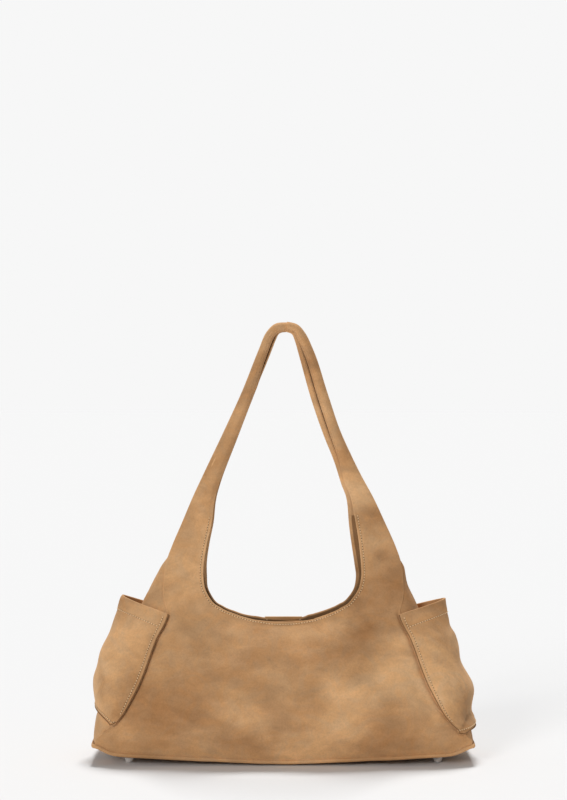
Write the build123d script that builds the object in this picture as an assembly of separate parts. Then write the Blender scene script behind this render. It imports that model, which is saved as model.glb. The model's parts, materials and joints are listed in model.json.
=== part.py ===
"""Slouchy suede hobo bag, standing on four metal feet with its strap up.

Millimetres. +X is to the right seen from the front, the front faces -Y and +Z is up.
The origin is on the ground, under the middle of the base. Walls are ruled lofts through
a few plan sections, so neighbours that share a seam share the same faces.
"""

from build123d import *
from collections import namedtuple
import math
import os

# --- overall sizes ---
BAG_LENGTH = 376.0          # end to end at the belly, before the side pockets stand off
BAG_DEPTH = 116.0           # front to back at the base
BODY_HEIGHT = 248.0         # from the base panel up to the fold where the arms close
STRAP_RISE = 170.0          # from that fold up to the middle of the strap's crown

# --- sheet goods ---
SUEDE = 2.2                 # doubled suede of panels, gussets, pockets and strap
FACING = 1.4                # suede facing turned in along the mouth
LINING = 0.8
BOARD = 3.0                 # stiffener over the base
LAY = 0.2                   # air between layers that lie on each other

# --- mouth and arms ---
MOUTH_WIDTH = 156.0
MOUTH_LOW_SHARE = 0.5153    # the rim at its lowest, as a share of the body height
SHOULDER_SHARE = 0.6766     # where the rim turns up into the arms
ARM_TOP_WIDTH = 25.5        # each arm at the fold, outer edge to rim
FACING_WIDTH = 30.0
LINING_LAP = 4.0            # how far the lining runs up over the facing
FOLD_HALF_ANGLE = 30.0      # each side of the fold is pinched to this wedge
FOLD_GAP = 0.6

# --- base ---
FOOT_HEIGHT = 8.0
FOOT_TOP_RADIUS = 5.5
FOOT_TIP_RADIUS = 3.6
FOOT_SPREAD_X = 0.8085      # between the feet, as a share of the bag's length
FOOT_SPREAD_Y = 0.5172      # and of its depth
POST_RADIUS = 1.6
POST_FIT = 0.1              # hole radius over post radius
WASHER_RADIUS = 8.5
WASHER = 0.8
WELT = 4.0                  # piping around the base seam, square before rounding
WELT_ROUND = 1.7

# --- side pockets ---
POCKET_SEAM_SHARE = 0.5395  # the rim at the side seams, as a share of the body height
POCKET_MIDDLE_SHARE = 0.5960
POCKET_TOP_SHARE = 0.62     # of the body height; the rim is cut below this

# --- strap ---
STRAP_WIDTH_LOW = 23.8
STRAP_WIDTH_TOP = 13.5
STRAP_DEPTH_LOW = 14.0
STRAP_DEPTH_TOP = 12.5
STRAP_SLOT = 1.6            # open edge of the folded strap, on its inner side
CROWN_ROUND = 1.6           # sets the crown's bend, in strap widths
TAPE_WIDTH = 5.0
TAPE = 1.0

# --- closure ---
TAB_WIDTH = 38.0
TAB_LENGTH = 46.0
TAB = 2.2
TAB_DROP = 2.0              # tab hinge below the lowest rim
TAB_CLEAR = 0.5
SNAP_RADIUS = 7.0
SNAP = 2.0
SNAP_FROM_TIP = 11.0
SNAP_BELOW_RIM = 17.0

# --- inside zip pocket, on the back lining ---
ZIP_HEIGHT = 78.0
ZIP_LENGTH = 160.0
ZIP_TAPE = 0.6
ZIP_TAPE_WIDTH = 22.0
ZIP_CHAIN_WIDTH = 2.6
ZIP_CHAIN = 1.6
ZIP_POCKET_DROP = 40.0
POCKET_CLOTH = 0.4
SLIDER_WIDTH = 7.0
SLIDER_HEIGHT = 8.0
SLIDER = 1.4
SLIDER_CLEAR = 0.3
BAR_RADIUS = 0.8
BAR_FIT = 0.08
LUG = 1.0
LUG_RADIUS = 1.28
PULLER_WIDTH = 6.0
PULLER_LENGTH = 22.0
PULLER = 1.4
PULLER_STEM = 6.0           # narrow part between the eye and the blade
STEM_LAP = 1.0
ZIP_MARGIN = 5.0            # tape past each end of the teeth
POCKET_SEAM = 3.0           # sewn edge of the zip pocket's cloth

FAR = 400.0                 # reach of cutting blocks, past every wall

FLOOR_Z = FOOT_HEIGHT + SUEDE               # top of the base panel, foot of the walls
FOLD_Z = FLOOR_Z + BODY_HEIGHT
MOUTH_LOW = FLOOR_Z + MOUTH_LOW_SHARE * BODY_HEIGHT
MOUTH_SHOULDER = FLOOR_Z + SHOULDER_SHARE * BODY_HEIGHT
POCKET_RIM_AT_SEAM = FLOOR_Z + POCKET_SEAM_SHARE * BODY_HEIGHT
POCKET_RIM_AT_MIDDLE = FLOOR_Z + POCKET_MIDDLE_SHARE * BODY_HEIGHT
FOOT_SPAN_X = FOOT_SPREAD_X * BAG_LENGTH
FOOT_SPAN_Y = FOOT_SPREAD_Y * BAG_DEPTH
GUSSET_END = SUEDE + 0.5                    # half the gusset's width where it runs out

# One plan section of the body. Lengths are shares of the half length, depths of the half
# depth, heights of the body height; the bows and the pocket gap are in millimetres.
Level = namedtuple("Level", "height end seam depth front_bow back_bow pocket_gap")
LEVELS = [
    Level(0.00, 0.947, 0.872, 0.81, 5.0, 5.0, 0.6),
    Level(0.06, 0.979, 0.915, 0.88, 6.0, 9.0, 1.5),
    Level(0.20, 0.936, 0.830, 0.88, 9.0, 0.0, 12.0),
    Level(0.36, 0.862, 0.734, 0.72, 6.0, 0.0, 19.0),
    Level(0.55, 0.739, 0.628, 0.38, 1.5, 1.5, 26.0),
    Level(0.67, 0.660, 0.625, 0.21, 4.0, 4.0, 28.0),
    Level(0.75, 0.630, 0.612, 0.00, 8.0, 8.0, 28.0),
    Level(1.00, 0.500, 0.489, 0.00, 10.0, 10.0, 28.0),
]
GUSSET_TOP_SHARE = 0.75
LINED_SHARE = 0.67


def height(level):
    return FLOOR_Z + level.height * BODY_HEIGHT


def seam_x(level):
    return level.seam * BAG_LENGTH / 2


def end_x(level):
    return max(level.end * BAG_LENGTH / 2, seam_x(level) + SUEDE + 0.6)


def seam_y(level):
    least = SUEDE if level.height > GUSSET_TOP_SHARE else GUSSET_END
    return max(level.depth * BAG_DEPTH / 2, least)


def between(z, value):
    """A level's value at height z, straight between the levels either side."""
    for low, high in zip(LEVELS, LEVELS[1:]):
        if z <= height(high):
            part = (z - height(low)) / (height(high) - height(low))
            return value(low) + part * (value(high) - value(low))
    return value(LEVELS[-1])


def bow(start, end, rise):
    """A shallow arc between two points of equal y, or a line when it has no rise."""
    if rise == 0:
        return Line(start, end)
    return ThreePointArc(start, ((start[0] + end[0]) / 2, start[1] + rise), end)


def slice_at(z, edges):
    return Plane.XY.offset(z) * make_face(edges)


def sheet(side, inset, thickness):
    """A layer of the front (side -1) or back (side 1) wall, seam to seam, base to fold."""
    sections = []
    for level in LEVELS:
        x = seam_x(level)
        rise = side * (level.front_bow if side < 0 else level.back_bow)
        outer = side * (seam_y(level) - inset)
        inner = outer - side * thickness
        edges = [
            bow((-x, outer), (x, outer), rise),
            Line((x, outer), (x, inner)),
            bow((x, inner), (-x, inner), rise),
            Line((-x, inner), (-x, outer)),
        ]
        sections.append(slice_at(height(level), edges))
    return loft(sections, ruled=True)


def end_sheet(side, inset, thickness, levels):
    """A layer of the left (side -1) or right (side 1) gusset between its two seams."""
    sections = []
    for level in levels:
        x = side * seam_x(level)
        y = seam_y(level) - inset
        tip = side * (end_x(level) - inset)
        y_in = y - thickness
        edges = [
            ThreePointArc((x, -y), (tip, 0), (x, y)),
            Line((x, y), (x, y_in)),
            ThreePointArc((x, y_in), (tip - side * thickness, 0), (x, -y_in)),
            Line((x, -y_in), (x, -y)),
        ]
        sections.append(slice_at(height(level), edges))
    return loft(sections, ruled=True)


def mouth(grow=0.0):
    """The cut for the mouth and the space between the arms, through front and back."""
    half = MOUTH_WIDTH / 2 + grow
    drop = MOUTH_SHOULDER - MOUTH_LOW + grow
    top = seam_x(LEVELS[-1]) - ARM_TOP_WIDTH + grow
    bottom = EllipticalCenterArc((0, MOUTH_SHOULDER), half, drop, 180, arc_size=180)
    edges = [
        bottom,
        Line((half, MOUTH_SHOULDER), (top, FOLD_Z)),
        Line((top, FOLD_Z), (top, FOLD_Z + 60)),
        Line((top, FOLD_Z + 60), (-top, FOLD_Z + 60)),
        Line((-top, FOLD_Z + 60), (-top, FOLD_Z)),
        Line((-top, FOLD_Z), (-half, MOUTH_SHOULDER)),
    ]
    return extrude(Plane.XZ * make_face(edges), amount=FAR / 2, both=True)


def block(x0, x1, y0, y1, z0, z1):
    middle = ((x0 + x1) / 2, (y0 + y1) / 2, (z0 + z1) / 2)
    return Location(middle) * Box(x1 - x0, y1 - y0, z1 - z0)


def own_half(side):
    """Everything on one side of the middle plane, less half a layer gap."""
    near, far = side * LAY / 2, side * FAR
    return block(-FAR, FAR, min(near, far), max(near, far), 0, FAR * 2)


def above_fold(side):
    """What lies past the pinched fold: above it (side 1) or below it (side -1)."""
    run = FAR / 4
    lift = run / math.tan(math.radians(FOLD_HALF_ANGLE))
    tip = FOLD_Z - side * FOLD_GAP
    far = FOLD_Z + side * FAR
    edge = tip - side * lift
    points = [(0, tip), (run, edge), (run, far), (-run, far), (-run, edge)]
    return extrude(Plane.YZ * make_face(Polyline(*points, close=True)), amount=FAR, both=True)


def outline(level, grow=0.0):
    """The plan outline of the body at one level."""
    x, y, tip = seam_x(level), seam_y(level), end_x(level)
    edges = [
        bow((-x, -y), (x, -y), -level.front_bow),
        ThreePointArc((x, -y), (tip, 0), (x, y)),
        bow((x, y), (-x, y), level.back_bow),
        ThreePointArc((-x, y), (-tip, 0), (-x, -y)),
    ]
    face = make_face(edges)
    return offset(face, amount=grow, kind=Kind.ARC) if grow else face


def foot_spots():
    return [(x * FOOT_SPAN_X / 2, y * FOOT_SPAN_Y / 2) for x in (-1, 1) for y in (-1, 1)]


def post_holes(z0, z1):
    holes = []
    for x, y in foot_spots():
        hole = Cylinder(POST_RADIUS + POST_FIT, z1 - z0)
        holes.append(Location((x, y, (z0 + z1) / 2)) * hole)
    return holes


# --- body ---


def wall_panel(side):
    return sheet(side, 0, SUEDE) - mouth() - above_fold(1)


def gusset(side):
    levels = [level for level in LEVELS if level.height <= GUSSET_TOP_SHARE]
    return end_sheet(side, 0, SUEDE, levels)


def facing(side):
    near_mouth = mouth(FACING_WIDTH) - mouth()
    strip = sheet(side, SUEDE, FACING) & near_mouth & own_half(side)
    return keep_largest(strip - above_fold(1))


def keep_largest(shape):
    return max(shape.solids(), key=lambda solid: solid.volume)


LINING_INSET = SUEDE + FACING
LINING_FLOOR = FLOOR_Z + BOARD + WASHER + LAY


def wall_lining(side):
    cloth = sheet(side, LINING_INSET, LINING) - mouth(FACING_WIDTH - LINING_LAP)
    cloth = cloth & block(-FAR, FAR, -FAR, FAR, LINING_FLOOR + LINING, MOUTH_SHOULDER)
    cloth = keep_largest(cloth & own_half(side))
    return cloth - zip_slit() if side > 0 else cloth


def end_lining(side):
    levels = [level for level in LEVELS if level.height <= LINED_SHARE]
    cloth = end_sheet(side, SUEDE + LAY, LINING, levels)
    return cloth & block(-FAR, FAR, -FAR, FAR, LINING_FLOOR + LINING, FAR)


def plate(grow, z, thickness):
    return extrude(Plane.XY.offset(z) * outline(LEVELS[0], grow), amount=thickness)


def base_panel():
    panel = plate(0, FOOT_HEIGHT, SUEDE)
    return panel - post_holes(FOOT_HEIGHT, FLOOR_Z)


def base_board():
    board = plate(-SUEDE - LAY, FLOOR_Z, BOARD)
    return board - post_holes(FLOOR_Z, FLOOR_Z + BOARD)


def base_lining():
    return plate(-LINING_INSET - LAY, LINING_FLOOR, LINING)


def base_welt():
    z = FLOOR_Z - WELT
    ring = plate(WELT, z, WELT)
    outer = [edge for edge in ring.edges() if edge.bounding_box().size.Z < 0.01]
    return fillet(outer, WELT_ROUND) - plate(0, z - 1, WELT + 2)


def base_feet():
    """Turned feet: a cone with a rounded tip and a post that is clenched over the washer."""
    cone = Cone(FOOT_TIP_RADIUS, FOOT_TOP_RADIUS, FOOT_HEIGHT)
    cone = fillet(cone.edges().sort_by(Axis.Z)[:1], FOOT_TIP_RADIUS * 0.5)
    cone = Location((0, 0, FOOT_HEIGHT / 2)) * cone
    post_length = SUEDE + BOARD + WASHER
    post = Location((0, 0, FOOT_HEIGHT + post_length / 2)) * Cylinder(POST_RADIUS, post_length)
    foot = cone + post
    return Compound([Location((x, y, 0)) * keep_largest(foot) for x, y in foot_spots()])


def foot_washers():
    ring = Cylinder(WASHER_RADIUS, WASHER) - Cylinder(POST_RADIUS + POST_FIT, WASHER)
    z = FLOOR_Z + BOARD + WASHER / 2
    return Compound([Location((x, y, z)) * keep_largest(ring) for x, y in foot_spots()])


# --- side pockets ---


def side_pocket(side):
    """A pocket wall over the gusset, sewn along both its seams and open at the top."""
    top = FLOOR_Z + POCKET_TOP_SHARE * BODY_HEIGHT
    sections = []
    for level in LEVELS:
        if level.height > LINED_SHARE:
            continue
        x = side * seam_x(level)
        y = seam_y(level)
        tip = side * (end_x(level) + level.pocket_gap + SUEDE)
        edges = [
            ThreePointArc((x, -y - SUEDE), (tip, 0), (x, y + SUEDE)),
            Line((x, y + SUEDE), (x, y)),
            ThreePointArc((x, y), (tip - side * SUEDE, 0), (x, -y)),
            Line((x, -y), (x, -y - SUEDE)),
        ]
        sections.append(slice_at(height(level), edges))
    wall = loft(sections, ruled=True)
    seam = between(POCKET_RIM_AT_SEAM, seam_x)
    reach = between(top, lambda level: end_x(level) + level.pocket_gap) - seam
    slope = (POCKET_RIM_AT_MIDDLE - POCKET_RIM_AT_SEAM) / reach
    far = FAR / 2
    rim = [
        (side * (seam - far / 4), POCKET_RIM_AT_SEAM - slope * far / 4),
        (side * (seam + far), POCKET_RIM_AT_SEAM + slope * far),
        (side * (seam + far), FAR),
        (side * (seam - far / 4), FAR),
    ]
    return wall - extrude(Plane.XZ * make_face(Polyline(*rim, close=True)), amount=far, both=True)


# --- strap ---


def strap_spine():
    """Stations of the right half: (x, z, lean, share), from under the fold to the crown."""
    outer = seam_x(LEVELS[-1])
    foot_x = outer - ARM_TOP_WIDTH / 2
    crown_z = FOLD_Z + STRAP_RISE
    # The straight leg is tangent to a crown arc whose centre is on the middle plane.
    bend = STRAP_WIDTH_TOP * CROWN_ROUND
    lean = math.atan2(foot_x - bend, STRAP_RISE - bend)
    radius = (foot_x * math.cos(lean) - STRAP_RISE * math.sin(lean)) / (1 - math.sin(lean))
    leg = math.hypot(foot_x, crown_z - radius - FOLD_Z)
    leg = math.sqrt(leg ** 2 - radius ** 2)
    start = -STRAP_DEPTH_LOW
    stations = []
    for share in (0, 0.25, 0.5, 0.75, 1):
        run = start + share * (leg - start)
        stations.append((foot_x - run * math.sin(lean), FOLD_Z + run * math.cos(lean), lean, run))
    centre_z = crown_z - radius
    for step in (1, 2, 3, 4):
        turn = lean + (math.pi / 2 - lean) * step / 4
        x = radius * math.cos(turn)
        z = centre_z + radius * math.sin(turn)
        stations.append((x, z, turn, leg + radius * (turn - lean)))
    length = stations[-1][3]
    return [(x, z, turn, max(run / length, 0)) for x, z, turn, run in stations]


def strap_plane(side, x, z, turn):
    """The section plane: its own x points outward from the loop, its own y along depth."""
    outward = (side * math.cos(turn), 0, math.sin(turn))
    along = (-side * math.sin(turn), 0, math.cos(turn))
    return Plane(origin=(side * x, 0, z), x_dir=outward, z_dir=along)


def strap_size(share):
    ease = (1 - share) ** 2
    width = STRAP_WIDTH_TOP + (STRAP_WIDTH_LOW - STRAP_WIDTH_TOP) * ease
    depth = STRAP_DEPTH_TOP + (STRAP_DEPTH_LOW - STRAP_DEPTH_TOP) * ease
    return width, depth


def strap_half(side):
    """A strip of suede folded to a tube, with its open edge on the inside of the loop."""
    sections = []
    for x, z, turn, share in strap_spine():
        width, depth = strap_size(share)
        rx, ry = width / 2, depth / 2
        ix, iy = rx - SUEDE, ry - SUEDE
        outer_open = math.degrees(math.asin(STRAP_SLOT / 2 / ry))
        inner_open = math.degrees(math.asin(STRAP_SLOT / 2 / iy))
        outer = EllipticalCenterArc((0, 0), rx, ry, outer_open - 180, arc_size=360 - 2 * outer_open)
        inner = EllipticalCenterArc((0, 0), ix, iy, inner_open - 180, arc_size=360 - 2 * inner_open)
        edges = [outer, Line(outer @ 1, inner @ 1), inner, Line(inner @ 0, outer @ 0)]
        sections.append(strap_plane(side, x, z, turn) * make_face(edges))
    return keep_largest(loft(sections, ruled=True) - above_fold(-1))


def strap_tape():
    """Webbing laid inside the fold of both strap halves, in one piece over the crown."""
    halves = []
    for side in (-1, 1):
        sections = []
        for x, z, turn, _share in strap_spine():
            sections.append(strap_plane(side, x, z, turn) * Rectangle(TAPE, TAPE_WIDTH))
        halves.append(loft(sections, ruled=True))
    return keep_largest(halves[0] + halves[1] - above_fold(-1))


# --- closure ---

TAB_HINGE_Z = MOUTH_LOW - TAB_DROP


def tab_y():
    rim = between(MOUTH_LOW, lambda level: seam_y(level) + level.back_bow)
    return rim - SUEDE - FACING - TAB_CLEAR - TAB


def closure_tab():
    """A suede tab that hangs inside the back rim, with a round top about its hinge."""
    y, z = tab_y(), TAB_HINGE_Z
    strip = block(-TAB_WIDTH / 2, TAB_WIDTH / 2, y - TAB / 2, y + TAB / 2, z - TAB_LENGTH, z)
    corners = strip.edges().filter_by(Axis.Y).sort_by(Axis.Z)[:2]
    strip = fillet(corners, TAB_WIDTH / 3)
    root = Location((0, y, z)) * Rotation(0, 90, 0) * Cylinder(TAB / 2, TAB_WIDTH)
    return strip + root


def snap_male():
    """The snap's ball half, on the tab's rear face."""
    y = tab_y() + TAB / 2 + SNAP / 2
    z = TAB_HINGE_Z - TAB_LENGTH + SNAP_FROM_TIP
    disc = Cylinder(SNAP_RADIUS, SNAP)
    disc = fillet(disc.edges().sort_by(Axis.Z)[-1:], SNAP * 0.3)
    knob = Location((0, 0, SNAP * 0.75)) * Cylinder(SNAP_RADIUS * 0.35, SNAP * 0.5)
    return Location((0, y, z)) * Rotation(-90, 0, 0) * (disc + knob)


def front_wall_y(z):
    """The front wall's outer face on the middle plane, at height z."""
    return -between(z, lambda level: seam_y(level) + level.front_bow)


def snap_female():
    """The snap's socket half, flat on the front facing."""
    z = MOUTH_LOW - SNAP_BELOW_RIM
    slope = (front_wall_y(z + 1) - front_wall_y(z - 1)) / 2
    normal = Vector(0, 1, -slope).normalized()
    surface = Vector(0, front_wall_y(z) + SUEDE + FACING, z)
    place = Plane(origin=surface + normal * (LAY + SNAP / 2), x_dir=(1, 0, 0), z_dir=normal)
    disc = Cylinder(SNAP_RADIUS, SNAP)
    disc = fillet(disc.edges().sort_by(Axis.Z)[-1:], SNAP * 0.3)
    socket = Location((0, 0, SNAP * 0.25)) * Cylinder(SNAP_RADIUS * 0.4, SNAP * 0.5)
    return place.location * (disc - socket)


# --- inside zip pocket ---

ZIP_INSET = LINING_INSET + LINING
CHAIN_TOP_INSET = ZIP_INSET + ZIP_CHAIN
SLIDER_INSET = CHAIN_TOP_INSET + SLIDER_CLEAR


def zip_band(inset, thickness, half_length, low, high):
    """A strip of a layer on the back wall, between two heights about the zip."""
    band = block(-half_length, half_length, 0, FAR, ZIP_HEIGHT + low, ZIP_HEIGHT + high)
    return sheet(1, inset, thickness) & band


def zip_slit():
    half = ZIP_LENGTH / 2
    edge = ZIP_CHAIN_WIDTH / 2
    return block(-half, half, 0, FAR, ZIP_HEIGHT - edge, ZIP_HEIGHT + edge)


def zip_tape():
    reach, edge = ZIP_LENGTH / 2 + ZIP_MARGIN, ZIP_TAPE_WIDTH / 2
    return zip_band(ZIP_INSET, ZIP_TAPE, reach, -edge, edge) - zip_slit()


def zip_chain():
    """The two rows of teeth, meshed, in the slit between the tapes."""
    half, edge = ZIP_LENGTH / 2, ZIP_CHAIN_WIDTH / 2
    lower = zip_band(ZIP_INSET, ZIP_CHAIN, half, -edge, 0)
    upper = zip_band(ZIP_INSET, ZIP_CHAIN, half, 0, edge)
    return Compound([keep_largest(lower), keep_largest(upper)])


def zip_pocket():
    """A flat cloth bag between the back panel and its lining, open behind the zip."""
    reach, edge = ZIP_LENGTH / 2 + ZIP_MARGIN, ZIP_TAPE_WIDTH / 2
    room = LINING_INSET - SUEDE - 2 * LAY
    bag = zip_band(SUEDE + LAY, room, reach, -ZIP_POCKET_DROP, edge)
    hollow = zip_band(
        SUEDE + LAY + POCKET_CLOTH, room - 2 * POCKET_CLOTH, reach - POCKET_SEAM,
        POCKET_SEAM - ZIP_POCKET_DROP, edge - POCKET_SEAM,
    )
    inner_skin = sheet(1, LINING_INSET - LAY - 1.1 * POCKET_CLOTH, FAR / 10)
    return bag - hollow - (zip_slit() & inner_skin)


def zip_wall(inset):
    """How far back a layer on the back wall lies at the zip."""
    return between(ZIP_HEIGHT, seam_y) - inset


def slider_x():
    return -(ZIP_LENGTH - SLIDER_WIDTH) / 2 + 1


def bar_place():
    y = zip_wall(SLIDER_INSET + SLIDER) - BAR_RADIUS - PULLER
    return slider_x(), y, ZIP_HEIGHT - SLIDER_HEIGHT / 4


def zip_slider():
    """The slider's plate over the chain, with two lugs that carry the puller's bar."""
    x, y, z = bar_place()
    edge, half = SLIDER_HEIGHT / 2, SLIDER_WIDTH / 2
    shape = zip_band(SLIDER_INSET, SLIDER, FAR, -edge, edge)
    shape = shape & block(x - half, x + half, 0, FAR, 0, FAR)
    lug_far = zip_wall(SLIDER_INSET + SLIDER / 2)
    for side in (-1, 1):
        middle = x + side * (half - LUG / 2)
        near, far = middle - LUG / 2, middle + LUG / 2
        shape += block(near, far, y, lug_far, z - LUG_RADIUS, z + LUG_RADIUS)
        shape += Location((middle, y, z)) * Rotation(0, 90, 0) * Cylinder(LUG_RADIUS, LUG)
    bar = Location((x, y, z)) * Rotation(0, 90, 0) * Cylinder(BAR_RADIUS, SLIDER_WIDTH - LUG)
    return shape + bar


def zip_puller():
    """A flat pull that hangs on the slider's bar."""
    x, y, z = bar_place()
    neck = SLIDER_WIDTH - 2 * LUG - 2 * SLIDER_CLEAR
    eye_radius = BAR_RADIUS + BAR_FIT + PULLER * 0.6
    eye = Location((x, y, z)) * Rotation(0, 90, 0) * Cylinder(eye_radius, neck)
    front, back = y - PULLER / 2, y + PULLER / 2
    stem = block(x - neck / 2, x + neck / 2, front, back, z - PULLER_STEM, z)
    half, top = PULLER_WIDTH / 2, z - PULLER_STEM + STEM_LAP
    blade = block(x - half, x + half, front, back, z - PULLER_LENGTH, top)
    blade = fillet(blade.edges().filter_by(Axis.Y), half * 0.6)
    hole = Location((x, y, z)) * Rotation(0, 90, 0) * Cylinder(BAR_RADIUS + BAR_FIT, neck + 1)
    return eye + stem + blade - hole


NODES = {
    "front_panel": lambda: wall_panel(-1),
    "back_panel": lambda: wall_panel(1),
    "gusset_left": lambda: gusset(-1),
    "gusset_right": lambda: gusset(1),
    "base_panel": base_panel,
    "base_welt": base_welt,
    "base_board": base_board,
    "base_feet": base_feet,
    "foot_washers": foot_washers,
    "pocket_left": lambda: side_pocket(-1),
    "pocket_right": lambda: side_pocket(1),
    "front_facing": lambda: facing(-1),
    "back_facing": lambda: facing(1),
    "lining_front": lambda: wall_lining(-1),
    "lining_back": lambda: wall_lining(1),
    "lining_left": lambda: end_lining(-1),
    "lining_right": lambda: end_lining(1),
    "lining_base": base_lining,
    "strap_left": lambda: strap_half(-1),
    "strap_right": lambda: strap_half(1),
    "strap_tape": strap_tape,
    "closure_tab": closure_tab,
    "snap_male": snap_male,
    "snap_female": snap_female,
    "zip_pocket": zip_pocket,
    "zip_tape": zip_tape,
    "zip_chain": zip_chain,
    "zip_slider": zip_slider,
    "zip_puller": zip_puller,
}

os.makedirs("parts", exist_ok=True)
for node, make in NODES.items():
    export_step(make(), f"parts/{node}.step")
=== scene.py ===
import json
import math

import bpy
import numpy as np
from bpy.props import FloatProperty, FloatVectorProperty, PointerProperty
from mathutils import Matrix, Vector


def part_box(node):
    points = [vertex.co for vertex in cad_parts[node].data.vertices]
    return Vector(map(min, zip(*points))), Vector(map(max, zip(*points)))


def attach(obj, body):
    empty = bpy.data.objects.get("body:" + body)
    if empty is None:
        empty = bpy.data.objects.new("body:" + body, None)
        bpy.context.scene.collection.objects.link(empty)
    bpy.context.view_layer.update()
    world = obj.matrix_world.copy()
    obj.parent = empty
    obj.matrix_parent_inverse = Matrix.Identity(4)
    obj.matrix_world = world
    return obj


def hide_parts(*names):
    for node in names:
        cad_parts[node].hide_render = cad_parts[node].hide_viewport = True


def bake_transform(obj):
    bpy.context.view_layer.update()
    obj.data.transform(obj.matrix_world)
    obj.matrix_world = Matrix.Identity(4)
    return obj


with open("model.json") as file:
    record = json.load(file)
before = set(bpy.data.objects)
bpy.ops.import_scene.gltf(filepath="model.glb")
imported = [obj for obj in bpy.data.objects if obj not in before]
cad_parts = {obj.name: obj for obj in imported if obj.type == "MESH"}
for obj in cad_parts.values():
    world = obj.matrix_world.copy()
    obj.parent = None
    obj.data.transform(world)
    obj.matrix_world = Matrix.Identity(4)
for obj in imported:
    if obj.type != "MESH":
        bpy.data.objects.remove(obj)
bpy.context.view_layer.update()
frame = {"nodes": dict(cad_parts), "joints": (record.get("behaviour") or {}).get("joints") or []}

bl_info = {
    "name": "Suede hobo bag",
    "version": (1, 0, 0),
    "blender": (4, 5, 0),
    "location": "3D View > Sidebar > Hobo Bag",
    "description": "Builds the suede, stitching, lining and metalwork of a slouchy hobo bag",
    "category": "Object",
}

MM = 0.001

# Lengths below are in millimetres, heights above the ground. The seam is where the front
# or back panel meets the gusset; the rim is the edge of the mouth.
FOLD_Z = next(j for j in frame["joints"] if j["name"] == "strap_fold")["pos_m"][2] / MM
FOLD_BAND = 26.0


# ---------------------------------------------------------------- settings


def size(name, description, default, low=0.01, high=500.0):
    return FloatProperty(name=name, description=description, default=default, min=low, max=high)


def colour(name, description, default):
    return FloatVectorProperty(
        name=name, description=description, default=default, subtype="COLOR", size=3, min=0, max=1
    )


class HOBO_PG_sizes(bpy.types.PropertyGroup):
    """Thicknesses and trim sizes, in millimetres"""

    suede: size("Suede", "Thickness of the doubled suede, mm", 2.0)
    facing: size("Facing", "Thickness of the turned-in facing, mm", 1.1)
    facing_width: size("Facing width", "How far the facing runs in from the rim, mm", 28.0)
    lining: size("Lining", "Thickness of the cloth lining, mm", 0.7)
    stitch_pitch: size("Stitch pitch", "Distance from one stitch to the next, mm", 2.7)
    stitch_length: size("Stitch length", "Length of the thread that shows, mm", 1.75)
    thread: size("Thread", "Thickness of the sewing thread, mm", 1.0)
    welt: size("Welt", "Radius of the piping round the base, mm", 2.1)
    hem: size("Hem", "Depth of the pockets' turned hem, mm", 14.0)


class HOBO_PG_colours(bpy.types.PropertyGroup):
    """Base colours of the materials, linear"""

    nap_light: colour("Nap, light", "Suede brushed towards the light", (0.720, 0.430, 0.212))
    nap_dark: colour("Nap, dark", "Suede brushed away from the light", (0.405, 0.208, 0.088))
    # Painted shade: the facing colour is darkened to stand in for the shade inside the mouth.
    facing: colour("Facing", "Unbrushed suede inside the mouth", (0.255, 0.135, 0.058))
    thread: colour("Thread", "Sewing thread", (0.900, 0.630, 0.350))
    lining: colour("Lining", "Woven lining", (0.190, 0.120, 0.070))
    nickel: colour("Nickel", "Feet and snap", (0.88, 0.84, 0.80))
    brass: colour("Brass", "Zip metal", (0.56, 0.40, 0.20))
    board: colour("Board", "Fibre board in the base", (0.060, 0.050, 0.042))


class HOBO_PG_stage(bpy.types.PropertyGroup):
    """Floor, lights and camera"""

    distance: size("Camera distance", "From the bag's middle, m", 2.0)
    eye: size("Camera height", "Above the ground, m", 0.3566)
    view_height: size("View height", "Height of the view at the bag's middle, m", 0.8)
    pale: FloatProperty(name="Floor", description="Reflectance of the floor", default=0.739, min=0, max=1)
    glow: FloatProperty(name="Floor glow", description="Light of its own that lifts the floor", default=0.0)
    backdrop: FloatProperty(name="Backdrop", description="Brightness behind the bag", default=0.930)
    key: size("Key light", "Strength of the broad light from above and behind", 2.85, 0, 100)
    spread: size("Key spread", "How broad the key light is, degrees", 18.0, 0, 180)
    front: size("Front light", "Strength of the low light from the front left", 1.18, 0, 1000)
    sky: size("Surround", "Strength of the white surround as light", 0.30, 0, 10)


# ---------------------------------------------------------------- curves and grids


def through(points, monotone=True):
    """A smooth function through (place, value) points; monotone keeps it from overshooting."""
    place, value = np.array(points, float).T
    step = np.diff(place)
    rise = np.diff(value) / step
    slope = np.empty_like(value)
    slope[0], slope[-1] = rise[0], rise[-1]
    if monotone:
        turn = rise[:-1] * rise[1:] <= 0
        total = np.where(turn, 1, rise[:-1] + rise[1:])
        slope[1:-1] = np.where(turn, 0, 2 * rise[:-1] * rise[1:] / total)
    else:
        slope[1:-1] = (rise[:-1] * step[1:] + rise[1:] * step[:-1]) / (step[:-1] + step[1:])

    def at(where):
        where = np.clip(np.asarray(where, float), place[0], place[-1])
        k = np.clip(np.searchsorted(place, where, side="right") - 1, 0, len(step) - 1)
        t = (where - place[k]) / step[k]
        return (
            (1 + 2 * t) * (1 - t) ** 2 * value[k]
            + t * (1 - t) ** 2 * step[k] * slope[k]
            + t * t * (3 - 2 * t) * value[k + 1]
            - t * t * (1 - t) * step[k] * slope[k + 1]
        )

    return at


def smoothstep(low, high, value):
    t = np.clip((value - low) / (high - low), 0, 1)
    return t * t * (3 - 2 * t)


def grid_normals(grid):
    """Unit normals of a grid of points, from its two directions."""
    along = np.gradient(grid, axis=0)
    across = np.gradient(grid, axis=1)
    normal = np.cross(along, across)
    return normal / np.maximum(np.linalg.norm(normal, axis=2, keepdims=True), 1e-9)


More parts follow.
